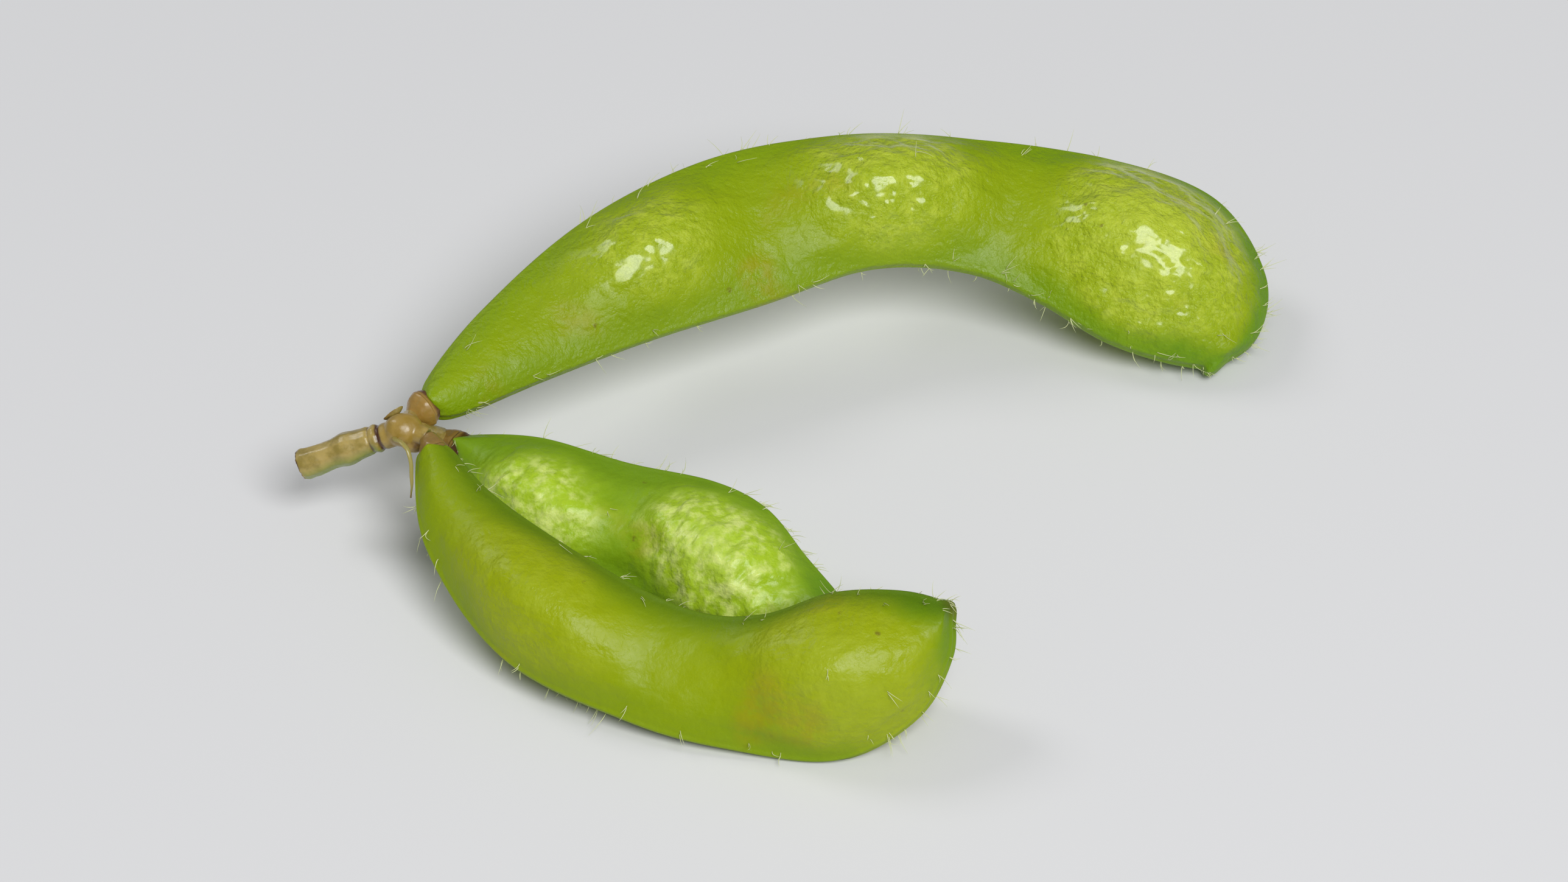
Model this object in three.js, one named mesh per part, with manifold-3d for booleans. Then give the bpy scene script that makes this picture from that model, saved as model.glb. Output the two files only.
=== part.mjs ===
// Edamame branch: a short cut stem whose knobbly node carries three boiled soybean pods,
// lying on a flat surface. Millimetres and degrees, +Z up, origin under the middle of the
// branch on the surface. The branch lies along X, its cut end towards -X.
import * as THREE from 'three';
import { mergeVertices } from 'three/addons/utils/BufferGeometryUtils.js';
import Module from 'manifold-3d';

const wasm = await Module();
wasm.setup();

// ---------------------------------------------------------------- driving dimensions
// Places are measured from the foot of the knot, the point of the surface straight below it.
const FOOT = [-27.1, -4.3];         // where that foot is from the origin, X and Y
const KNOT = { height: 8.6, radii: [1.35, 1.1, 1.1] };
const STEM = {
  heading: 184, dip: 24,            // where it points, and how steeply it falls to the surface
  length: 8.2, radius: 1.08,        // from the middle of the knot to the cut
  neck: { radius: 0.95, end: 1.6 }, // the narrow part behind the knot, and where it ends
  full: 4,                          // where the stem has reached its radius
  cut: { radius: 1.2, length: 2, bevel: 0.4, face: 1.13 },  // the flared end and its worn edge
};
const ARM = { radius: 0.6, tip: 0.35, short: 0.6 };   // pod stalks, which stop short of the cups
const CALYX = {                     // dried cups, which stop short of the pods
  foot: 0.65, rim: 0.95, rimFrom: 0.56, length: 0.8, short: 0.4,
};
const THREAD = {                    // withered bract that hangs from the knot
  radius: 0.19,
  path: [[-0.5, -1.65, 8.9], [0.1, -2.2, 9.3], [0.65, -2.8, 9.1], [0.85, -3.4, 8.3],
    [0.9, -3.9, 7.2], [0.9, -4.3, 6.0]],
};
const SCALE = { radii: [0.75, 0.42, 0.15], side: [-0.55, 0.72, 0.42], stand: 1.62 };

// A pod is drawn in its own plane: x from base to beak, y towards the upper suture, z through
// the thickness. Both sutures are smooth lines from the base to the beak. A bean swells both
// valves about [x, y], turned by turn, reaching long along and wide across, high to each side.
// The plane is then bowed and twisted, rolled about x, pitched beak down and turned to heading.
const PODS = {
  long: {
    at: [1.2, 3.6, 7.6], heading: 13.8, pitch: 6.6, roll: 26, twist: 0, bow: 0,
    upper: [[0, 0], [0.2, 2.0], [4.9, 7.5], [13.0, 14.2], [23.0, 19.0], [33.5, 20.6],
      [44.0, 19.9], [53.5, 18.0], [61.3, 14.5], [64.3, 8.2], [63.0, 3.2], [59.5, 1.0]],
    lower: [[0, 0], [2.0, -0.8], [9.0, 1.8], [17.0, 4.6], [26.0, 7.2], [34.5, 9.8],
      [41.5, 9.2], [46.5, 6.7], [51.0, 3.5], [54.6, 1.9], [57.6, 1.1], [59.5, 1.0]],
    shell: 1.5, baseRound: 0.05, beakRound: 0.1, along: 48, around: 22,
    beans: [
      { x: 17.5, y: 11.3, turn: 30, long: 8.5, wide: 5.5, high: 2.6 },
      { x: 36.0, y: 15.6, turn: 5, long: 9.5, wide: 6.5, high: 3.2 },
      { x: 55.0, y: 9.8, turn: -42, long: 10.5, wide: 8.5, high: 4.2 },
    ],
  },
  front: {
    at: [2.4, -1.9, 8.2], heading: -19.5, pitch: -2.4, roll: 27, twist: 22, bow: 2,
    upper: [[0, 0], [1.2, 0.4], [5.6, -2.2], [13.5, -5.1], [22.0, -6.9], [27.5, -6.0],
      [32.0, -3.1], [36.3, -1.6], [39.0, -1.4], [40.2, -1.8]],
    lower: [[0, 0], [-0.8, -1.3], [2.4, -7.4], [10.5, -13.6], [20.5, -15.7], [28.0, -15.6],
      [35.0, -14.2], [39.5, -9.8], [40.9, -5.0], [40.2, -1.8]],
    shell: 1.5, baseRound: 0.06, beakRound: 0.08, along: 36, around: 22,
    beans: [
      { x: 12.5, y: -9.5, turn: -24, long: 9.5, wide: 5.8, high: 2.7 },
      { x: 34.2, y: -8.0, turn: 8, long: 9.0, wide: 7.2, high: 3.5 },
    ],
  },
  middle: {
    at: [3.5, 2.6, 4.9], heading: -21.8, pitch: -1.2, roll: 30, twist: 0, bow: 0,
    upper: [[0, 0], [0.9, 0.9], [6.0, 2.3], [13.0, 2.4], [19.5, 2.9], [24.0, 2.1],
      [28.0, -0.4], [31.0, -2.2], [32.8, -3.7]],
    lower: [[0, 0], [0.5, -1.0], [4.0, -4.8], [9.5, -7.4], [15.5, -6.9], [21.5, -8.4],
      [27.0, -8.6], [30.8, -6.5], [32.8, -3.7]],
    shell: 1.4, baseRound: 0.06, beakRound: 0.08, along: 36, around: 20,
    beans: [
      { x: 8.6, y: -2.9, turn: -8, long: 7.5, wide: 5.2, high: 2.6 },
      { x: 22.6, y: -3.1, turn: -18, long: 8.5, wide: 6.0, high: 3.2 },
    ],
  },
};
const BEAN_FALL = 1.5;              // how sharply a bean's swelling falls away at its rim
const SIDES = { stem: 16, stalk: 10, scale: 12 };         // facets round each
const RINGS = { knot: 12, scale: 8, thread: 14 };         // facets along each

// ---------------------------------------------------------------- helpers
const vector = ([x, y, z]) => new THREE.Vector3(x, y, z);
const radians = THREE.MathUtils.degToRad;

const material = (colour, roughness) =>
  new THREE.MeshStandardMaterial({ color: colour, roughness, metalness: 0 });

// Keeps only positions and joins the vertices of a seam, so the mesh is one closed body.
function closed(geometry) {
  geometry.deleteAttribute('normal');
  geometry.deleteAttribute('uv');
  return mergeVertices(geometry, 1e-4);
}

// What would sink below the surface lies flat on it.
function settled(geometry) {
  const position = geometry.attributes.position;
  for (let i = 0; i < position.count; i++) {
    position.setZ(i, Math.max(position.getZ(i), 0));
  }
  return geometry;
}

function toSolid(geometry) {
  return new wasm.Manifold(new wasm.Mesh({
    numProp: 3,
    vertProperties: new Float32Array(geometry.attributes.position.array),
    triVerts: new Uint32Array(geometry.index.array),
  }));
}

function fromSolid(solid) {
  const { vertProperties, triVerts } = solid.getMesh();
  const geometry = new THREE.BufferGeometry();
  geometry.setAttribute('position', new THREE.BufferAttribute(vertProperties, 3));
  geometry.setIndex(new THREE.BufferAttribute(triVerts, 1));
  return geometry;
}

// Turns a profile of [radius, height] about an axis from start towards direction.
function turned(profile, start, direction, sides) {
  const points = profile.map(([radius, height]) => new THREE.Vector2(radius, height));
  const geometry = closed(new THREE.LatheGeometry(points, sides));
  const lean = new THREE.Quaternion().setFromUnitVectors(
    new THREE.Vector3(0, 1, 0), direction.clone().normalize());
  return geometry.applyQuaternion(lean).translate(start.x, start.y, start.z);
}

// ---------------------------------------------------------------- pods
function placement(pod) {
  const turn = new THREE.Euler(radians(pod.roll), radians(pod.pitch), radians(pod.heading), 'ZYX');
  return new THREE.Matrix4().makeRotationFromEuler(turn).setPosition(vector(pod.at));
}

const suture = (points) =>
  new THREE.SplineCurve(points.map(([x, y]) => new THREE.Vector2(x, y)));

// Quarter-circle rise from 0 at an end of the pod to 1 at share from it.
function rounding(distance, share) {
  const left = 1 - Math.min(distance / share, 1);
  return Math.sqrt(1 - left * left);
}

function swelling(bean, x, y) {
  const turn = radians(bean.turn);
  const along = (x - bean.x) * Math.cos(turn) + (y - bean.y) * Math.sin(turn);
  const across = (y - bean.y) * Math.cos(turn) - (x - bean.x) * Math.sin(turn);
  const reach = (along / bean.long) ** 2 + (across / bean.wide) ** 2;
  return bean.high * Math.max(0, 1 - reach) ** BEAN_FALL;
}

// A round ball's vertices are laid over the pod: its poles on the base and the beak, its
// sides on the sutures, its front and back on the two valves.
function podGeometry(pod) {
  const geometry = new THREE.SphereGeometry(1, pod.around, pod.along);
  const position = geometry.attributes.position;
  const upper = suture(pod.upper);
  const lower = suture(pod.lower);
  const length = pod.upper.at(-1)[0];
  for (let i = 0; i < position.count; i++) {
    const u = Math.acos(THREE.MathUtils.clamp(position.getY(i), -1, 1)) / Math.PI;
    const azimuth = Math.atan2(position.getZ(i), position.getX(i));
    const over = upper.getPoint(u);
    const under = lower.getPoint(u);
    const spot = under.lerp(over, (1 + Math.cos(azimuth)) / 2);
    const shell = pod.shell * rounding(u, pod.baseRound) * rounding(1 - u, pod.beakRound);
    const full = pod.beans.reduce((sum, bean) => sum + swelling(bean, spot.x, spot.y), shell);
    const rise = full * Math.sin(azimuth);
    const share = THREE.MathUtils.clamp(spot.x / length, 0, 1);
    const twist = radians(pod.twist) * share;
    position.setXYZ(i, spot.x,
      spot.y * Math.cos(twist) - rise * Math.sin(twist),
      spot.y * Math.sin(twist) + rise * Math.cos(twist) + pod.bow * Math.sin(Math.PI * share));
  }
  return settled(closed(geometry).applyMatrix4(placement(pod)));
}

// The way a pod leaves its base: halfway between its two sutures.
function podDirection(pod) {
  const away = new THREE.Vector2(
    pod.upper[2][0] + pod.lower[2][0], pod.upper[2][1] + pod.lower[2][1]).normalize();
  return new THREE.Vector3(away.x, away.y, 0).transformDirection(placement(pod));
}

// ---------------------------------------------------------------- stem, calyces, bracts
const knot = new THREE.Vector3(0, 0, KNOT.height);

// The middle of the cup's foot, its own length and a clearance short of the pod's base.
function calyxFoot(pod) {
  return vector(pod.at).addScaledVector(podDirection(pod), -(CALYX.short + CALYX.length));
}

function calyxGeometry(pod) {
  const profile = [[0, 0], [CALYX.foot, 0], [CALYX.rim, CALYX.rimFrom],
    [CALYX.rim, CALYX.length], [0, CALYX.length]];
  return turned(profile, calyxFoot(pod), podDirection(pod), SIDES.stem);
}

function stemGeometry() {
  const heading = radians(STEM.heading);
  const dip = radians(STEM.dip);
  const away = new THREE.Vector3(
    Math.cos(heading) * Math.cos(dip), Math.sin(heading) * Math.cos(dip), -Math.sin(dip));
  const { length, radius, neck, cut } = STEM;
  const stub = turned([[0, 0], [neck.radius, 0], [neck.radius, neck.end], [radius, STEM.full],
    [radius, length - cut.length], [cut.radius, length - cut.bevel], [cut.face, length],
    [0, length]], knot, away, SIDES.stem);
  const ball = closed(new THREE.SphereGeometry(1, SIDES.stem, RINGS.knot))
    .scale(...KNOT.radii).translate(0, 0, KNOT.height);
  let solid = toSolid(stub).add(toSolid(ball));
  for (const pod of Object.values(PODS)) {
    const end = calyxFoot(pod).addScaledVector(podDirection(pod), -ARM.short);
    const reach = end.clone().sub(knot);
    const arm = turned([[0, 0], [ARM.radius, 0], [ARM.tip, reach.length()],
      [0, reach.length()]], knot, reach, SIDES.stalk);
    solid = solid.add(toSolid(arm));
  }
  return settled(fromSolid(solid));
}

function threadGeometry() {
  const round = new THREE.Shape().absarc(0, 0, THREAD.radius, 0, Math.PI * 2);
  const path = new THREE.CatmullRomCurve3(THREAD.path.map(vector));
  const strip = { extrudePath: path, steps: RINGS.thread, curveSegments: 3 };
  return closed(new THREE.ExtrudeGeometry(round, strip));
}

// A dry scale, thin towards the knot that it stands on.
function scaleGeometry() {
  const side = vector(SCALE.side).normalize();
  const lean = new THREE.Quaternion().setFromUnitVectors(new THREE.Vector3(0, 0, 1), side);
  const spot = knot.clone().addScaledVector(side, SCALE.stand);
  return closed(new THREE.SphereGeometry(1, SIDES.scale, RINGS.scale)).scale(...SCALE.radii)
    .applyQuaternion(lean).translate(spot.x, spot.y, spot.z);
}

// ---------------------------------------------------------------- the branch
const group = new THREE.Group();
const branch = new THREE.Group();
branch.position.set(FOOT[0], FOOT[1], 0);
group.add(branch);

function addPiece(name, geometry, finish) {
  const mesh = new THREE.Mesh(geometry, finish);
  mesh.name = name;
  branch.add(mesh);
}

addPiece('stem', stemGeometry(), material(0xa6965d, 0.7));
for (const [name, pod] of Object.entries(PODS)) {
  addPiece(`pod_${name}`, podGeometry(pod), material(0x8fae2a, 0.4));
  addPiece(`calyx_${name}`, calyxGeometry(pod), material(0x6b4a14, 0.85));
}
addPiece('bract_thread', threadGeometry(), material(0x8a7a45, 0.8));
addPiece('bract_scale', scaleGeometry(), material(0x4a3010, 0.85));

export default group;
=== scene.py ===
"""Edamame branch: the finished looks of its frame. A short cut stem whose knot carries three
boiled soybean pods, lying on a pale floor. Shapes are worked out in millimetres, stored in metres."""

import math

import bpy
import numpy as np
from mathutils import Matrix, Vector, noise


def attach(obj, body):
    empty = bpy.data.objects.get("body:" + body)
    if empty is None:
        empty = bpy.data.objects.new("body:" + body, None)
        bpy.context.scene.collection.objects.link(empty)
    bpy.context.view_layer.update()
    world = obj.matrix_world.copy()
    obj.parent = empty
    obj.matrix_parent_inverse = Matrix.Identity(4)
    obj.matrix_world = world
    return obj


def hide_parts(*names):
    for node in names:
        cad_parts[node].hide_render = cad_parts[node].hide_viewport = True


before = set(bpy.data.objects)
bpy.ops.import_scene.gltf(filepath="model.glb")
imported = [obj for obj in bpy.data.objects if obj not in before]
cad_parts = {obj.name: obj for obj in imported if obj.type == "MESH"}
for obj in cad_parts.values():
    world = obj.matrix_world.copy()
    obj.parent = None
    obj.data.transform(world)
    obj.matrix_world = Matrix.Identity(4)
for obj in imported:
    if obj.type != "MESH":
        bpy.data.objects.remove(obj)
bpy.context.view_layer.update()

MM = 0.001                          # metres in a millimetre
SEED = 7                            # of the hairs
FINE = 1.0   # share of the full mesh density

# ---------------------------------------------------------------- driving dimensions, mm
# Places are measured from the foot of the knot, the point of the floor straight below it.
FOOT = (-27.1, -4.3)                # where that foot is from the origin, X and Y
KNOT_HEIGHT = 8.6
KNOT_RADII = (1.45, 1.25, 1.2)
KNUCKLE = {"at": (0.75, -0.35, -0.7), "radii": (1.0, 0.95, 0.8)}  # swelling under the knot
STEM = {
    "heading": 184, "dip": 24,      # where it points, and how steeply it falls to the floor
    "length": 8.2, "radius": 1.08,  # from the middle of the knot to the cut
    "neck": 0.95,                   # radius behind the knot
    "ring": 1.75, "scar": 2.5,      # how far from the knot the two creases lie
    "node": 4.6,                    # and the swelling between them and the cut
}
CUT_RADIUS = 1.2
ARM_RADII = (0.8, 0.66)             # at the knot, at the cup
ARM_SHORT = 0.2                     # how far an arm stops short of its cup
CALYX = {
    "length": 0.8, "short": 0.4,    # and how far it stops short of the pod in the frame
    "over": 0.45,                   # how far it wraps the pod here
    "stalk": 0.62, "sink": 0.25,    # radius at the stalk, and how far it sinks into that
}
CUPS = {                            # radius of the bulb and of the rim, reach of the lobes
    "long": {"bulb": 1.4, "rim": 1.2, "lobe": 0.15},
    "front": {"bulb": 1.05, "rim": 1.2, "lobe": 0.35},
    "middle": {"bulb": 1.05, "rim": 1.2, "lobe": 0.35},
}
THREAD = [(-0.6, -0.9, 8.6), (-0.4, -1.5, 9.0), (0.1, -2.2, 9.3), (0.65, -2.8, 9.1),
          (0.85, -3.4, 8.3), (0.9, -3.9, 7.2), (0.85, -4.3, 6.0)]
THREAD_RADII = (0.26, 0.2, 0.1)     # at the knot, a third of the way along, at the tip
SCALE = {"radii": (0.85, 0.5, 0.1), "side": (-0.55, 0.72, 0.42), "stand": 1.25}

# A pod is drawn in its own plane: x from base to beak, y towards the upper suture, z through
# the thickness. Both sutures are smooth lines from the base to the beak. A bean is (x, y, turn,
# long, wide, high): it swells both valves about x, y. The plane is then bowed and twisted,
# rolled about x, pitched beak down and turned to heading. Creases over the beans are as strong
# as crepe and run along grain degrees, the lips along the sutures are as strong as lips, and
# the beak sticks out by nub.
PODS = {
    "long": {
        "at": (1.2, 3.6, 7.6), "heading": 13.8, "pitch": 6.6, "roll": 26, "twist": 0, "bow": 0,
        "upper": [(0, 0), (0.2, 2.0), (4.9, 7.5), (13.0, 14.2), (23.0, 19.0), (33.5, 20.6),
                  (44.0, 19.9), (53.5, 18.0), (61.3, 14.5), (64.3, 8.2), (63.0, 3.2), (59.5, 1.0)],
        "lower": [(0, 0), (2.0, -0.8), (9.0, 1.8), (17.0, 4.6), (26.0, 7.2), (34.5, 9.8),
                  (41.5, 9.2), (46.5, 6.7), (51.0, 3.5), (54.6, 1.9), (57.6, 1.1), (59.5, 1.0)],
        "shell": 1.5, "base_round": 0.05, "beak_round": 0.1,
        "beans": [(17.5, 11.3, 30, 8.5, 5.5, 2.6), (36.0, 15.6, 5, 9.5, 6.5, 3.2),
                  (55.0, 9.8, -42, 10.5, 8.5, 4.2)],
        "crepe": 0.8, "grain": -30, "lips": 0.45, "nub": 0.8,
        "along": 440, "around": 220, "hairs": 280,
    },
    "front": {
        "at": (2.4, -1.9, 8.2), "heading": -19.5, "pitch": -2.4, "roll": 27, "twist": 22, "bow": 2,
        "upper": [(0, 0), (1.2, 0.4), (5.6, -2.2), (13.5, -5.1), (22.0, -6.9), (27.5, -6.0),
                  (32.0, -3.1), (36.3, -1.6), (39.0, -1.4), (40.2, -1.8)],
        "lower": [(0, 0), (-0.8, -1.3), (2.4, -7.4), (10.5, -13.6), (20.5, -15.7), (28.0, -15.6),
                  (35.0, -14.2), (39.5, -9.8), (40.9, -5.0), (40.2, -1.8)],
        "shell": 1.5, "base_round": 0.06, "beak_round": 0.08,
        "beans": [(12.5, -9.5, -24, 9.5, 5.8, 2.7), (34.2, -8.0, 8, 9.0, 7.2, 3.5)],
        "crepe": 0.15, "grain": 30, "lips": 1.0, "nub": 0.35,
        "along": 330, "around": 204, "hairs": 190,
    },
    "middle": {
        "at": (3.5, 2.6, 4.9), "heading": -21.8, "pitch": -1.2, "roll": 30, "twist": 0, "bow": 0,
        "upper": [(0, 0), (0.9, 0.9), (6.0, 2.3), (13.0, 2.4), (19.5, 2.9), (24.0, 2.1),
                  (28.0, -0.4), (31.0, -2.2), (32.8, -3.7)],
        "lower": [(0, 0), (0.5, -1.0), (4.0, -4.8), (9.5, -7.4), (15.5, -6.9), (21.5, -8.4),
                  (27.0, -8.6), (30.8, -6.5), (32.8, -3.7)],
        "shell": 1.4, "base_round": 0.06, "beak_round": 0.08,
        "beans": [(8.6, -2.9, -8, 7.5, 5.2, 2.6), (22.6, -3.1, -18, 8.5, 6.0, 3.2)],
        "crepe": 0.95, "grain": 70, "lips": 0.7, "nub": 0.5,
        "along": 330, "around": 200, "hairs": 200,
    },
}
GRAIN_STRETCH = (0.5, 1.0, 0.7)     # creases run long along the grain
BEAN_FALL = 1.5                     # how sharply a bean's swelling falls away at its rim
PLUMP = 2.4                         # a bean's lift that counts as full
BEAK_REACH = 0.9                    # how far round the beak the skin is drawn out
HAIR_RADIUS = 0.025
HAIR_TAPER = np.array([1.3, 1.1, 1.0, 0.8, 0.55, 0.2])  # of that radius, from root to tip
HAIR_LENGTH = (0.4, 1.3)
FLOOR_SKIN = 0.01                   # the pods' flat spots lie this far above the floor


# ---------------------------------------------------------------- mesh helpers
def piece(name, points, faces, material, node):
    """A piece of the branch from points in mm, riding on the root body in place of a CAD node."""
    mesh = bpy.data.meshes.new(name)
    mesh.from_pydata([tuple(p) for p in np.asarray(points) * MM], [], faces)
    mesh.polygons.foreach_set("use_smooth", [True] * len(mesh.polygons))
    mesh.update()
    made = bpy.data.objects.new(name, mesh)
    bpy.context.scene.collection.objects.link(made)
    made.data.materials.append(material)
    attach(made, "root")
    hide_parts(node)
    return made


def attribute(obj, name, values):
    """Gives each point a value, for the material to read by name."""
    layer = obj.data.attributes.new(name, "FLOAT", "POINT")
    layer.data.foreach_set("value", np.asarray(values, np.float32).ravel())


def field(points, size, seed=0.0):
    """Smooth noise, -1 to 1, with features of about size mm at each point."""
    scaled = np.asarray(points).reshape(-1, 3) / size + seed
    values = np.array([noise.noise(Vector(p)) for p in scaled])
    return values.reshape(np.asarray(points).shape[:-1])


def bell(distance, width):
    """1 at no distance, falling away over about width."""
    return np.exp(-(distance / width)**2)


def ball_faces(rings, around):
    """Faces of a closed ball or tube, whose vertices are a pole, rings and another pole."""
    faces = []
    last = 1 + rings * around
    for j in range(around):
        k = (j + 1) % around
        faces.append((0, 1 + k, 1 + j))
        faces.append((last, last - around + j, last - around + k))
    for i in range(rings - 1):
        row = 1 + i * around
        for j in range(around):
            k = (j + 1) % around
            faces.append((row + j, row + k, row + around + k, row + around + j))
    return faces


def tube(path, radii, around=40, squash=1.0):
    """A closed tube along a path of points, with a radius for each ring. Points and faces."""
    path = np.asarray(path, float)
    along = np.gradient(path, axis=0)
    along /= np.linalg.norm(along, axis=1, keepdims=True)
    side = np.cross(along, (0.0, 0.3, 1.0))
    side /= np.linalg.norm(side, axis=1, keepdims=True)
    other = np.cross(along, side)
    angle = np.linspace(0, 2 * math.pi, around, endpoint=False)
    ring = (np.cos(angle)[None, :, None] * side[:, None]
            + squash * np.sin(angle)[None, :, None] * other[:, None])
    points = path[:, None] + ring * np.asarray(radii)[:, None, None]
    points = np.concatenate([path[:1], points.reshape(-1, 3), path[-1:]])
    return points, ball_faces(len(path), around)


def ball(centre, radii, rings=28, around=40):
    """A closed ball with its poles on Z."""
    angle = np.linspace(0, 2 * math.pi, around, endpoint=False)[None, :]
    fall = np.linspace(0, math.pi, rings + 2)[1:-1, None]
    grid = np.stack([np.sin(fall) * np.cos(angle), np.sin(fall) * np.sin(angle),
                     np.cos(fall) + 0 * angle], -1).reshape(-1, 3)
    grid = np.concatenate([[(0, 0, 1)], grid, [(0, 0, -1)]])
    faces = [face[::-1] for face in ball_faces(rings, around)]
    return grid * radii + centre, faces


def fused(parts, grain):
    """One skin round overlapping closed parts, with faces about grain mm across."""
    points, faces, count = [], [], 0
    for part_points, part_faces in parts:
        points.append(part_points)
        faces += [tuple(i + count for i in face) for face in part_faces]
        count += len(part_points)
    mesh = bpy.data.meshes.new("fused")
    mesh.from_pydata(np.concatenate(points).tolist(), [], faces)
    holder = bpy.data.objects.new("fused", mesh)
    bpy.context.scene.collection.objects.link(holder)
    remesh = holder.modifiers.new("skin", "REMESH")
    remesh.mode = "VOXEL"
    remesh.voxel_size = grain
    settle = holder.modifiers.new("settle", "SMOOTH")
    settle.iterations = 6
    made = holder.evaluated_get(bpy.context.evaluated_depsgraph_get()).to_mesh()
    out = np.empty(len(made.vertices) * 3)
    made.vertices.foreach_get("co", out)
    normals = np.empty(len(made.vertices) * 3)
    made.vertex_normals.foreach_get("vector", normals)
    skin = [tuple(polygon.vertices) for polygon in made.polygons]
    bpy.data.objects.remove(holder)
    bpy.data.meshes.remove(mesh)
    return out.reshape(-1, 3), normals.reshape(-1, 3), skin


def smooth_line(points, u):
    """Uniform Catmull-Rom line through points, u from 0 to 1."""
    p = np.asarray(points, float)
    last = len(p) - 1
    spot = np.clip(u, 0, 1) * last
    i = np.minimum(spot.astype(int), last - 1)
    w = (spot - i)[..., None]
    before, here = p[np.maximum(i - 1, 0)], p[i]
    there, after = p[i + 1], p[np.minimum(i + 2, last)]
    leave, arrive = (there - before) / 2, (after - here) / 2
    return ((2 * here - 2 * there + leave + arrive) * w**3
            + (3 * there - 3 * here - 2 * leave - arrive) * w**2 + leave * w + here)


# ---------------------------------------------------------------- pods
def rounding(distance, share):
    """Quarter-circle rise from 0 at an end of the pod to 1 at share from it."""
    left = 1 - np.minimum(distance / share, 1)
    return np.sqrt(1 - left**2)


def swelling(bean, x, y):
    bean_x, bean_y, turn, long, wide, high = bean
    turn = math.radians(turn)
    along = (x - bean_x) * math.cos(turn) + (y - bean_y) * math.sin(turn)
    across = (y - bean_y) * math.cos(turn) - (x - bean_x) * math.sin(turn)
    return high * np.maximum(0, 1 - (along / long)**2 - (across / wide)**2)**BEAN_FALL


def placement(pod):
    """From the pod's own frame to the branch's, in mm."""
    turn = Matrix.Rotation(math.radians(pod["heading"]), 4, "Z")
    turn @= Matrix.Rotation(math.radians(pod["pitch"]), 4, "Y")
    turn @= Matrix.Rotation(math.radians(pod["roll"]), 4, "X")
    x, y, z = pod["at"]
    return Matrix.Translation((x + FOOT[0], y + FOOT[1], z)) @ turn


def place(pod, points):
    matrix = np.array(placement(pod))
    return points @ matrix[:3, :3].T + matrix[:3, 3]


def pod_direction(pod):
    """The way a pod leaves its base: halfway between its two sutures."""
    (ux, uy), (lx, ly) = pod["upper"][2], pod["lower"][2]
    return (placement(pod).to_3x3() @ Vector((ux + lx, uy + ly, 0))).normalized()


def pod_grid(pod, along, around):
    """Rings of points from just past the base to just before the beak, in the pod's plane,
    and how far the beans lift the skin there."""
    u = np.linspace(0, 1, along + 2)[1:-1, None]
    angle = np.linspace(0, 2 * math.pi, around, endpoint=False)[None, :]
    over = smooth_line(pod["upper"], u + 0 * angle)
    under = smooth_line(pod["lower"], u + 0 * angle)
    flat = under + (over - under) * (1 + np.cos(angle))[..., None] / 2
    x, y = flat[..., 0], flat[..., 1]
    shell = pod["shell"] * rounding(u, pod["base_round"]) * rounding(1 - u, pod["beak_round"])
    lift = sum(swelling(bean, x, y) for bean in pod["beans"])
    rise = -(shell + lift) * np.sin(angle)
    share = np.clip(x / pod["upper"][-1][0], 0, 1)
    twist = np.radians(pod["twist"]) * share
    grid = np.stack([x, y * np.cos(twist) - rise * np.sin(twist),
                     y * np.sin(twist) + rise * np.cos(twist)
                     + pod["bow"] * np.sin(math.pi * share)], -1)
    return grid, lift


def twisted(pod, x, y):
    """A point of the plane of the sutures near the beak, in the pod's own frame."""
    twist = math.radians(pod["twist"])
    return np.array([x, y * math.cos(twist), y * math.sin(twist)])


def grid_normals(grid):
    down = np.gradient(grid, axis=0)
    round_ = np.roll(grid, -1, 1) - np.roll(grid, 1, 1)
    normal = np.cross(down, round_)
    return normal / np.maximum(np.linalg.norm(normal, axis=-1, keepdims=True), 1e-9)


def blurred(values, rings, columns):
    """Values evened out over a number of rings and columns of the grid."""
    for axis, reach in ((0, rings), (1, columns)):
        for _ in range(3):
            total = np.zeros_like(values)
            for k in range(-reach, reach + 1):
                moved = np.roll(values, k, axis)
                if axis == 0 and k > 0:
                    moved[:k] = values[:1]
                elif axis == 0 and k < 0:
                    moved[k:] = values[-1:]
                total += moved
            values = total / (2 * reach + 1)
    return values


def seam_distances(grid):
    """Distance over the skin from each point to the upper and to the lower suture, mm."""
    around = grid.shape[1]
    step = np.linalg.norm(np.roll(grid, -1, 1) - grid, axis=-1)
    to = np.concatenate([np.zeros((len(grid), 1)), np.cumsum(step, 1)], 1)
    total, here = to[:, -1:], to[:, :-1]
    middle = to[:, around // 2][:, None]
    return np.minimum(here, total - here), np.abs(here - middle)


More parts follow.
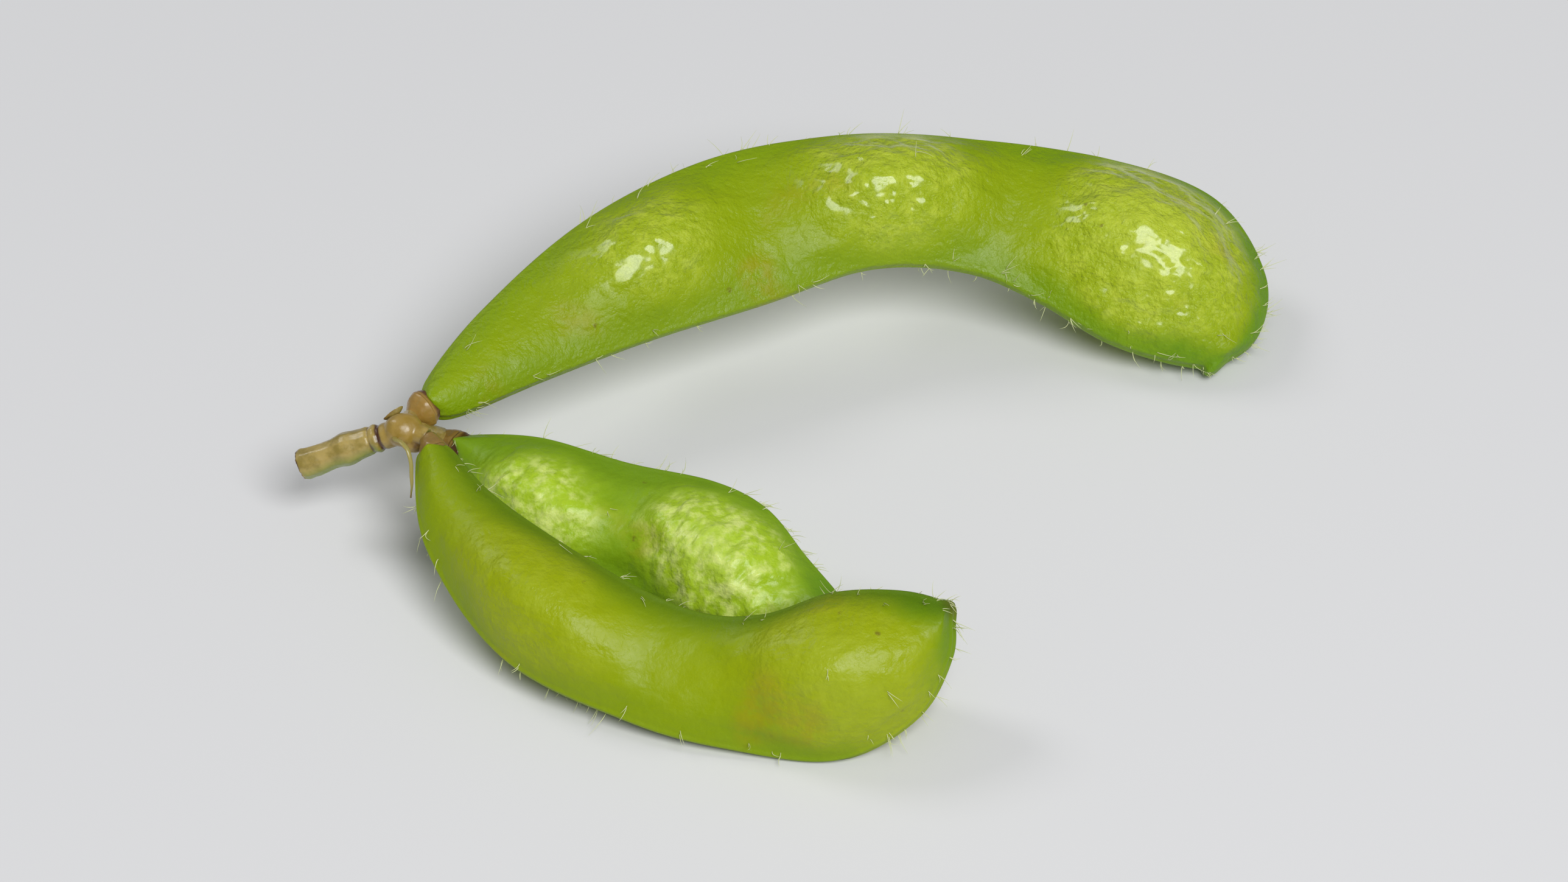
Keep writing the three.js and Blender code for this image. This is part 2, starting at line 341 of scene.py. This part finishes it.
def relief(pod, grid, lift, from_seam):
    """How far the skin stands off the plain pod, and how plump it is: lips along the sutures, a
    pinch beside them, slow waves, dents, and creases over the beans."""
    along = len(grid)
    ends = rounding(np.linspace(0, 1, along)[:, None], 0.03)
    ends = ends * ends[::-1]
    soft = blurred(lift, int(6 * FINE), int(6 * FINE))
    plump = soft / PLUMP

    lips = 0.14 * bell(from_seam - 0.42, 0.2) - 0.08 * bell(from_seam, 0.16)
    pinch = -0.07 * bell(from_seam - 1.6, 0.8)
    slow = field(grid, 6.0, 3)
    dents = field(grid, 1.9, 11)
    lay = grid @ np.array(Matrix.Rotation(math.radians(pod["grain"]), 3, "Z"))
    lay = lay + 0.45 * np.stack([field(grid, 1.8, 31), field(grid, 1.8, 37), 0 * lift], -1)
    crepe = 1 - 2 * np.abs(field(lay * GRAIN_STRETCH, 0.5, 17))
    creases = field(lay * GRAIN_STRETCH, 0.95, 23)
    patchy = np.clip(0.5 + 1.6 * field(grid, 4.0, 41), 0, 1)
    inner = np.clip((from_seam - 0.6) / 2.2, 0, 1)
    inner = inner**2 * (3 - 2 * inner)
    rough = inner * ends * (0.25 + pod["crepe"] * np.minimum(plump, 1) * (0.65 + 0.35 * patchy))
    rise = pod["lips"] * (lips + pinch) * ends + (soft - lift) * inner
    rise += inner * ends * (0.14 * slow + 0.06 * dents)
    rise += rough * (0.1 * crepe + 0.2 * creases + 0.16 * dents)
    return rise, plump


def pod_piece(name, pod, skin, hair):
    along, around = int(pod["along"] * FINE), int(pod["around"] * FINE) // 2 * 2
    grid, lift = pod_grid(pod, along, around)
    normal = grid_normals(grid)
    from_upper, from_lower = seam_distances(grid)
    from_seam = np.minimum(from_upper, from_lower)
    rise, plump = relief(pod, grid, lift, from_seam)
    grid = grid + normal * rise[..., None]

    beak_x, beak_y = pod["upper"][-1]
    back_x, back_y = np.mean([pod["upper"][-2], pod["lower"][-2]], 0)
    out = np.array([beak_x - back_x, beak_y - back_y, 0.0])
    out *= pod["nub"] / np.linalg.norm(out)
    beak = twisted(pod, beak_x, beak_y)
    near = np.linalg.norm(grid - beak, axis=-1)
    tip = np.exp(-(near / BEAK_REACH)**4)
    grid = grid + out * tip[..., None]

    points = place(pod, grid.reshape(-1, 3))
    base = place(pod, np.array([[0.0, 0.0, 0.0]]))
    points = np.concatenate([base, points, place(pod, (beak + out)[None])])
    points[:, 2] = np.maximum(points[:, 2], FLOOR_SKIN)
    made = piece(f"{name}_skin", points, ball_faces(along, around), skin, name)

    def spread(values, at_base, at_beak):
        return np.concatenate([[at_base], values.ravel(), [at_beak]])

    share = np.linspace(0, 1, along)[:, None] + 0 * lift
    attribute(made, "plump", spread(plump, 0, 0))
    # Low near the sutures, where the material paints the skin's darker green, part of it painted
    # shade.
    attribute(made, "deep", spread(1 - bell(from_seam, 3.2), 0, 0))
    attribute(made, "seam", spread(bell(from_seam, 0.5), 1, 1))
    # The band along the upper suture, where the material paints shade.
    attribute(made, "ridge", spread(bell(from_upper, 1.9), 1, 1))
    attribute(made, "share", spread(share, 0, 1))
    attribute(made, "tip", spread(tip, 0, 1))
    grow_hairs(name, pod, place(pod, grid.reshape(-1, 3)), from_seam.ravel(), share.ravel(),
               normal.reshape(-1, 3) @ np.array(placement(pod).to_3x3()).T, hair)


def grow_hairs(name, pod, skin, from_seam, share, normals, material):
    """Short bent hairs in tufts of two, most of them close to the sutures."""
    rng = np.random.default_rng(SEED + len(name))
    weight = 0.035 + bell(from_seam, 1.1)
    weight = weight * (share < 0.97) * np.clip((share - 0.05) / 0.15, 0, 1) * (skin[:, 2] > 0.7)
    tufts = rng.choice(len(skin), pod["hairs"] // 2, p=weight / weight.sum())
    roots = np.concatenate([tufts, (tufts + rng.integers(-4, 5, len(tufts))) % len(skin)])
    forward = np.array(pod_direction(pod))
    points, faces, count = [], [], 0
    for root in roots:
        length = rng.uniform(*HAIR_LENGTH)
        lean = forward * rng.uniform(0.2, 1.0) + rng.normal(0, 0.4, 3)
        lean[2] -= 0.25
        out = normals[root] + lean * 0.9
        out = out / np.linalg.norm(out)
        droop = forward * 0.5 + rng.normal(0, 0.8, 3)
        step = np.linspace(0, 1, len(HAIR_TAPER))[:, None]
        path = skin[root] - normals[root] * 0.05 + length * (out * step + 0.4 * droop * step**2)
        if path[:, 2].min() < 0.05:
            continue
        hair, hair_faces = tube(path, HAIR_RADIUS * HAIR_TAPER, 5)
        points.append(hair)
        faces += [tuple(i + count for i in face) for face in hair_faces]
        count += len(hair)
    piece(f"{name}_hairs", np.concatenate(points), faces, material, name)


# ---------------------------------------------------------------- materials
class Nodes:
    """A material's node tree, with short ways to add the nodes used here."""

    def __init__(self, name):
        self.material = bpy.data.materials.new(name)
        self.material.use_nodes = True
        self.tree = self.material.node_tree
        self.shader = self.tree.nodes["Principled BSDF"]
        self.place = self.add("ShaderNodeTexCoord").outputs["Object"]

    def add(self, kind, **settings):
        node = self.tree.nodes.new(kind)
        for key, value in settings.items():
            setattr(node, key, value)
        return node

    def wire(self, value, socket):
        if isinstance(value, bpy.types.NodeSocket):
            self.tree.links.new(value, socket)
        else:
            socket.default_value = value

    def attribute(self, name):
        return self.add("ShaderNodeAttribute", attribute_name=name).outputs["Fac"]

    def noise(self, size_mm, detail=3.0, roughness=0.55):
        """Noise with features of size_mm, 0 to 1."""
        node = self.add("ShaderNodeTexNoise")
        self.wire(self.place, node.inputs["Vector"])
        self.wire(1 / (size_mm * MM), node.inputs["Scale"])
        self.wire(detail, node.inputs["Detail"])
        self.wire(roughness, node.inputs["Roughness"])
        return node.outputs["Fac"]

    def cells(self, size_mm):
        """Distance to the nearest of points about size_mm apart."""
        node = self.add("ShaderNodeTexVoronoi")
        self.wire(self.place, node.inputs["Vector"])
        self.wire(1 / (size_mm * MM), node.inputs["Scale"])
        return node.outputs["Distance"]

    def ramp(self, value, low, high, to_low=0.0, to_high=1.0):
        """Value eased from low..high to to_low..to_high."""
        node = self.add("ShaderNodeMapRange", interpolation_type="SMOOTHSTEP")
        for slot_name, item in (("Value", value), ("From Min", low), ("From Max", high),
                                ("To Min", to_low), ("To Max", to_high)):
            self.wire(item, node.inputs[slot_name])
        return node.outputs["Result"]

    def math(self, operation, first, second):
        node = self.add("ShaderNodeMath", operation=operation)
        self.wire(first, node.inputs[0])
        self.wire(second, node.inputs[1])
        return node.outputs["Value"]

    def mix(self, share, first, second):
        """Colour from first to second. A Mix node's colours are sockets 6 and 7, and 2 out."""
        node = self.add("ShaderNodeMix", data_type="RGBA")
        self.wire(share, node.inputs["Factor"])
        for socket, value in ((6, first), (7, second)):
            self.wire((*value, 1.0) if isinstance(value, tuple) else value, node.inputs[socket])
        return node.outputs[2]

    def bump(self, height, depth_mm, strength):
        node = self.add("ShaderNodeBump")
        self.wire(strength, node.inputs["Strength"])
        self.wire(depth_mm * MM, node.inputs["Distance"])
        self.wire(height, node.inputs["Height"])
        self.wire(node.outputs["Normal"], self.shader.inputs["Normal"])

    def finish(self, colour, roughness, **sockets):
        self.wire(colour, self.shader.inputs["Base Color"])
        self.wire(roughness, self.shader.inputs["Roughness"])
        for name, value in sockets.items():
            self.wire(value, self.shader.inputs[name.replace("_", " ")])
        return self.material


def pod_material(name, margin_and_shade, body, bean, pale, milky, ridge, gloss, depth):
    """Skin from its edges to its beans: green near the sutures, partly the skin's own darker green
    and partly painted shade, body green, yellower over the beans, with pale mottling there, as
    strong as milky, and a painted shade band along the upper suture and a brown beak as strong as
    ridge. The finest creases are depth mm deep, and gloss is the strength of the wet shine."""
    n = Nodes(name)
    plump, deep, seam = n.attribute("plump"), n.attribute("deep"), n.attribute("seam")
    share = n.attribute("share")
    broad, mottle, streak = n.noise(5.0), n.noise(1.1, 4.0, 0.6), n.noise(0.4, 2.0)
    drift = n.math("MULTIPLY", n.math("SUBTRACT", broad, 0.5), 0.8)
    # Painted shade, partly: towards the beak the skin near the sutures turns to its darker green.
    # That is the skin's own colour there, made darker still to stand in for shade on the pod's sides.
    edge = n.mix(n.ramp(share, 0.45, 0.85, 0.35, 1.0), body, margin_and_shade)
    colour = n.mix(n.ramp(n.math("ADD", deep, drift), 0.05, 0.95), edge, body)
    over_bean = n.ramp(n.math("ADD", plump, drift), 0.05, 0.9)
    colour = n.mix(over_bean, colour, bean)
    crown = n.ramp(n.math("ADD", plump, drift), 0.8, 1.7)
    colour = n.mix(n.math("MULTIPLY", crown, 0.5), colour, pale)
    patches = n.math("MULTIPLY", n.ramp(mottle, 0.4, 0.68), n.ramp(over_bean, 0.2, 0.9))
    colour = n.mix(n.math("MULTIPLY", patches, milky), colour, pale)
    veins = n.math("MULTIPLY", n.ramp(streak, 0.55, 0.75), over_bean)
    colour = n.mix(n.math("MULTIPLY", veins, 0.2), colour, body)
    base = n.math("MULTIPLY", n.ramp(share, 0.02, 0.2, 0.6, 0.0), deep)
    colour = n.mix(base, colour, bean)
    if ridge:
        # Painted shade: a dark green band along the upper suture, as strong as ridge. The mix after
        # it gives the beak its own brown.
        shade = n.math("MULTIPLY", n.attribute("ridge"), n.ramp(share, 0.03, 0.15))
        colour = n.mix(n.math("MULTIPLY", shade, ridge), colour, (0.05, 0.13, 0.0))
        colour = n.mix(n.math("MULTIPLY", n.attribute("tip"), ridge), colour, (0.07, 0.05, 0.01))
    colour = n.mix(n.math("MULTIPLY", seam, 0.35), colour, (0.2, 0.3, 0.02))
    rust = n.math("MULTIPLY", n.ramp(n.noise(8.0, 1.0), 0.62, 0.75), n.ramp(mottle, 0.3, 0.6))
    colour = n.mix(n.math("MULTIPLY", rust, 0.4), colour, (0.36, 0.27, 0.0))
    spots = n.math("MULTIPLY", n.ramp(n.cells(3.8), 0.03, 0.08, 1.0, 0.0), n.ramp(streak, 0.4, 0.6))
    colour = n.mix(n.math("MULTIPLY", spots, 0.6), colour, (0.13, 0.07, 0.01))
    roughness = n.ramp(mottle, 0.3, 0.7, 0.36, 0.52)
    fine = n.math("MULTIPLY", streak, n.ramp(over_bean, 0.0, 1.0, 0.4, 1.0))
    n.bump(n.math("ADD", n.math("MULTIPLY", mottle, 0.6), fine), depth, 0.8)
    return n.finish(colour, roughness, Subsurface_Weight=0.22, Subsurface_Scale=1.0 * MM,
                    Subsurface_Radius=(1.0, 1.2, 0.12),
                    Coat_Weight=n.ramp(over_bean, 0.15, 1.0, 0.08 * gloss, gloss),
                    Coat_Roughness=0.17, Coat_IOR=1.5, IOR=1.33)


def hair_material():
    n = Nodes("hair_pale")
    return n.finish((0.66, 0.7, 0.36, 1.0), 0.4)


def stem_material():
    """Olive-tan rind, browner on the knot, greener along its lower side, dark in its creases and
    pale in its cut."""
    n = Nodes("stem_rind")
    scar, green, pith = n.attribute("scar"), n.attribute("green"), n.attribute("pith")
    blotch, fibre = n.noise(0.9, 4.0), n.noise(0.25, 3.0)
    colour = n.mix(n.ramp(blotch, 0.35, 0.65), (0.43, 0.32, 0.09), (0.28, 0.21, 0.04))
    colour = n.mix(n.ramp(green, 0.1, 0.8), colour, (0.2, 0.25, 0.02))
    colour = n.mix(n.math("MULTIPLY", n.attribute("knot"), 0.75), colour, (0.33, 0.19, 0.015))
    colour = n.mix(pith, colour, (0.55, 0.45, 0.2))
    worn = n.ramp(n.math("ADD", scar, n.math("MULTIPLY", n.math("SUBTRACT", blotch, 0.5), 0.7)),
                  0.3, 0.8)
    colour = n.mix(worn, colour, (0.07, 0.022, 0.004))
    n.bump(n.math("ADD", blotch, fibre), 0.04, 0.5)
    return n.finish(colour, n.ramp(fibre, 0.3, 0.7, 0.3, 0.5), Subsurface_Weight=0.2,
                    Subsurface_Scale=0.6 * MM, Subsurface_Radius=(1.0, 0.8, 0.2),
                    Coat_Weight=0.45, Coat_Roughness=0.2)


def husk_material(name, flesh, dried):
    """A cup or bract in the colour flesh, turning to the colour dried where it is dry."""
    n = Nodes(name)
    dry, blotch = n.attribute("dry"), n.noise(0.5, 4.0)
    worn = n.ramp(n.math("ADD", dry, n.math("MULTIPLY", n.math("SUBTRACT", blotch, 0.5), 0.6)),
                  0.35, 0.75)
    n.bump(blotch, 0.06, 0.7)
    return n.finish(n.mix(worn, flesh, dried), n.ramp(blotch, 0.3, 0.7, 0.35, 0.6),
                    Subsurface_Weight=0.1, Subsurface_Scale=0.5 * MM,
                    Coat_Weight=0.45, Coat_Roughness=0.18)


def floor_material():
    n = Nodes("floor_pale")
    return n.finish((0.74, 0.74, 0.75, 1.0), 0.8)


# ---------------------------------------------------------------- stem, cups and bracts
def knot_place(offset=(0, 0, 0)):
    """A place given from the middle of the knot."""
    x, y, z = offset
    return np.array([FOOT[0] + x, FOOT[1] + y, KNOT_HEIGHT + z])


def cup_foot(pod):
    """The middle of a cup's foot, its own length and a clearance short of the pod's base."""
    x, y, z = pod["at"]
    back = np.array(pod_direction(pod)) * (CALYX["short"] + CALYX["length"])
    return np.array([x + FOOT[0], y + FOOT[1], z]) - back


def stem_skin(knot, away):
    """The stub, the knot, its knuckle and the arms to the cups, as one skin."""
    length = STEM["length"]
    down = np.linspace(0, length, 90)
    waves = 0.16 * np.sin(down / length * 3.4)
    path = knot + down[:, None] * away + waves[:, None] * (0, 0.9, -0.4)
    radii = np.interp(down, (0, 1.6, 4, length - 2, length - 0.4, length),
                      (STEM["neck"], 0.97, STEM["radius"], 1.06, CUT_RADIUS, CUT_RADIUS * 0.94))
    radii += 0.16 * bell(down - STEM["node"], 0.7) - 0.12 * bell(down - STEM["ring"], 0.14)
    radii += -0.1 * bell(down - STEM["scar"], 0.12) + 0.07 * bell(down - 2.1, 0.2)
    parts = [tube(path, radii), ball(knot, KNOT_RADII),
             ball(knot_place(KNUCKLE["at"]), KNUCKLE["radii"])]
    for pod in PODS.values():
        end = cup_foot(pod) - np.array(pod_direction(pod)) * ARM_SHORT
        reach = np.linspace(0, 1, 20)
        parts.append(tube(knot + reach[:, None] * (end - knot),
                          ARM_RADII[0] + (ARM_RADII[1] - ARM_RADII[0]) * reach))
    return fused(parts, 0.075 if FINE == 1 else 0.15)


def stem_piece(material):
    heading, dip = math.radians(STEM["heading"]), math.radians(STEM["dip"])
    away = np.array([math.cos(heading) * math.cos(dip), math.sin(heading) * math.cos(dip),
                     -math.sin(dip)])
    knot = knot_place()
    points, normals, faces = stem_skin(knot, away)

    spot = (points - knot) @ away
    off_axis = points - knot - spot[:, None] * away
    angle = np.arctan2(off_axis[:, 2], off_axis[:, 1])
    rim = np.linalg.norm(off_axis, axis=1)
    on_stub = np.clip((spot - 1.2) / 0.8, 0, 1)
    cut = np.clip((spot - STEM["length"] + 0.25) / 0.15, 0, 1)
    rise = 0.014 * on_stub * np.sin(9 * angle + 0.5 * spot) * (1 - cut)
    rise += 0.08 * field(points, 1.6, 5) + 0.02 * field(points, 0.45, 9)
    rise += cut * (0.12 * field(points, 0.35, 15) - 0.16 * (rim < 0.55))
    points = points + normals * rise[:, None]
    made = piece("stem_rind", points, faces, material, "stem")

    def from_place(centre):
        return np.linalg.norm(points - centre, axis=1)

    scar = 0.85 * (bell(spot - STEM["ring"], 0.25) + 0.7 * bell(spot - STEM["scar"], 0.15))
    for pod in PODS.values():
        scar = np.maximum(scar, bell(from_place(cup_foot(pod)), 0.8))
    scar = np.maximum(scar, 1.1 * bell(from_place(knot_place((0.9, -0.9, -0.6))), 0.6))
    edge = cut * bell(rim - CUT_RADIUS, 0.22)
    attribute(made, "scar", np.maximum(scar, 0.75 * edge))
    attribute(made, "green", np.clip(0.45 - 0.75 * normals[:, 2], 0, 1) * (1 - cut) * on_stub)
    attribute(made, "pith", cut * (rim < CUT_RADIUS - 0.2))
    attribute(made, "knot", np.exp(-(from_place(knot) / 1.8)**4))


def cup_piece(name, pod, bulb, rim, lobe, material):
    """A cup under a pod: a bulb on the stalk whose rim runs out in five short ragged lobes."""
    around = 90
    angle = np.linspace(0, 2 * math.pi, around, endpoint=False)
    lobes = lobe * (0.5 + 0.5 * np.cos(5 * angle + len(name))) * (1 + 0.4 * np.cos(2 * angle))
    full = CALYX["length"] + CALYX["short"] + CALYX["over"]
    stalk, sink = CALYX["stalk"], CALYX["sink"]
    rings = [(0.3, -sink, 0), (0.6, -0.2, 0)]
    rings += [(stalk + (bulb - stalk) * math.sin(t * math.pi / 2), -0.15 + 0.75 * full * t, 0.0)
              for t in np.linspace(0.06, 1, 14)]
    rings += [(bulb + (rim - bulb) * t, full * (0.6 + 0.4 * t), t**2)
              for t in np.linspace(0.12, 1, 10)]
    rings += [(rim - 0.09, full, 1.0), (rim - 0.2, full * 0.96, 0.9),
              (rim - 0.3, full * 0.85, 0.4), (rim - 0.4, full * 0.7, 0.0)]
    grid = np.array([[(radius * math.cos(a), radius * math.sin(a), height + reach * extra)
                      for a, extra in zip(angle, lobes)] for radius, height, reach in rings])
    grid = np.concatenate([[(0, 0, -sink)], grid.reshape(-1, 3), [(0, 0, full * 0.7)]])
    wear = field(grid, 0.8, 13) * 0.1 + field(grid, 0.3, 19) * 0.035
    grid[:, :2] *= (1 + wear / np.maximum(np.hypot(grid[:, 0], grid[:, 1]), 0.3))[:, None]
    dry = np.clip((grid[:, 2] / full - 0.55) / 0.45, 0, 1)
    turn = np.array(pod_direction(pod).to_track_quat("Z", "Y").to_matrix())
    points = grid @ turn.T + cup_foot(pod)
    faces = [face[::-1] for face in ball_faces(len(rings), around)]
    made = piece(f"{name}_cup", points, faces, material, name)
    attribute(made, "dry", dry)


def thread_piece(material):
    """A withered strip that hangs from the knot, driest at its tip."""
    path = smooth_line(THREAD, np.linspace(0, 1, 60)) + knot_place() - (0, 0, KNOT_HEIGHT)
    radii = np.interp(np.linspace(0, 1, 60), (0, 0.3, 1), THREAD_RADII)
    points, faces = tube(path, radii, 20, 0.6)
    points[:, :2] += 0.05 * field(points, 1.0, 3)[:, None]
    thread = piece("bract_thread_strip", points, faces, material, "bract_thread")
    attribute(thread, "dry", np.clip((7.4 - points[:, 2]) / 2, 0, 1))


def scale_piece(material):
    """A small dry husk, cupped, that stands on the knot."""
    points, faces = ball((0, 0, 0), SCALE["radii"], 30, 60)
    points[:, 2] += 0.35 * points[:, 0]**2 + 0.9 * points[:, 1]**2
    points += 0.05 * field(points, 0.4, 29)[:, None]
    side = Vector(SCALE["side"]).normalized()
    turn = np.array(Vector((0, 0, 1)).rotation_difference(side).to_matrix())
    points = points @ turn.T + knot_place(side * SCALE["stand"])
    scale = piece("bract_scale_husk", points, faces, material, "bract_scale")
    attribute(scale, "dry", np.full(len(points), 0.6))


# ---------------------------------------------------------------- build
# The colours used near the sutures are the skin's own darker green with painted shade added. ridge
# sets a painted shade band along the upper suture and the brown of the beak.
SKINS = {
    "long": {
        "margin_and_shade": (0.13, 0.275, 0.0), "body": (0.26, 0.36, 0.0), "bean": (0.34, 0.45, 0.0),
        "pale": (0.56, 0.66, 0.05), "milky": 0.5, "ridge": 0.0, "gloss": 0.8, "depth": 0.36,
    },
    "front": {
        "margin_and_shade": (0.15, 0.27, 0.0), "body": (0.28, 0.365, 0.0), "bean": (0.31, 0.385, 0.0),
        "pale": (0.38, 0.46, 0.02), "milky": 0.3, "ridge": 0.75, "gloss": 0.1, "depth": 0.14,
    },
    "middle": {
        "margin_and_shade": (0.14, 0.29, 0.01), "body": (0.2, 0.34, 0.005), "bean": (0.4, 0.58, 0.02),
        "pale": (0.68, 0.78, 0.22), "milky": 0.9, "ridge": 0.2, "gloss": 0.26, "depth": 0.14,
    },
}
hair = hair_material()
for key, pod in PODS.items():
    pod_piece(f"pod_{key}", pod, pod_material(f"pod_skin_{key}", **SKINS[key]), hair)
stem_piece(stem_material())
knob = husk_material("cup_brown_olive", (0.34, 0.2, 0.035), (0.1, 0.035, 0.005))
husk = husk_material("cup_dried", (0.25, 0.15, 0.03), (0.07, 0.028, 0.004))
for key, cup in CUPS.items():
    cup_piece(f"calyx_{key}", PODS[key], **cup, material=knob if key == "long" else husk)
bract = husk_material("bract_tan", (0.34, 0.29, 0.07), (0.22, 0.14, 0.03))
thread_piece(bract)
scale_piece(bract)


# ---------------------------------------------------------------- floor, light, camera
FLOOR_HALF = 2                      # metres from the middle to an edge
WORLD = {"colour": (0.95, 0.97, 1.0, 1.0), "strength": 0.21}
LENS = 153                          # focal length on a sensor 36 wide
EYE = (20.0, -357.3, 328.8)
AIM = (0.0, 0.0, 5.0)


def look_at(obj, spot, aim):
    """Puts a light or camera at spot, turned to aim, both in metres."""
    obj.location = spot
    obj.rotation_euler = (Vector(aim) - Vector(spot)).to_track_quat("-Z", "Y").to_euler()
    bpy.context.scene.collection.objects.link(obj)


def stage():
    corners = [(-1, -1), (1, -1), (1, 1), (-1, 1)]
    mesh = bpy.data.meshes.new("floor")
    mesh.from_pydata([(x * FLOOR_HALF, y * FLOOR_HALF, 0) for x, y in corners], [],
                     [(0, 1, 2, 3)])
    mesh.materials.append(floor_material())
    floor = bpy.data.objects.new("floor", mesh)
    bpy.context.scene.collection.objects.link(floor)
    world = bpy.data.worlds.new("studio")
    world.use_nodes = True
    background = world.node_tree.nodes["Background"]
    background.inputs["Color"].default_value = WORLD["colour"]
    background.inputs["Strength"].default_value = WORLD["strength"]
    bpy.context.scene.world = world


def softbox(name, spot, size, power):
    """A round light at spot, aimed at the origin: metres and watts."""
    data = bpy.data.lights.new(name, "AREA")
    data.shape = "DISK"
    data.size = size
    data.energy = power
    look_at(bpy.data.objects.new(name, data), spot, (0, 0, 0))


def camera():
    """Looks down at the middle of the branch from about 42 degrees above the floor."""
    data = bpy.data.cameras.new("camera")
    data.lens = LENS
    data.sensor_width = 36
    data.clip_start = 0.01
    eye = bpy.data.objects.new("camera", data)
    look_at(eye, Vector(EYE) * MM, Vector(AIM) * MM)
    bpy.context.scene.camera = eye


stage()
camera()
softbox("softbox_top", (0.27, -0.5, 0.71), 0.55, 7.0)
softbox("softbox_left", (-0.5, 0.3, 0.6), 0.3, 1.2)
bpy.context.scene.view_settings.view_transform = "Standard"
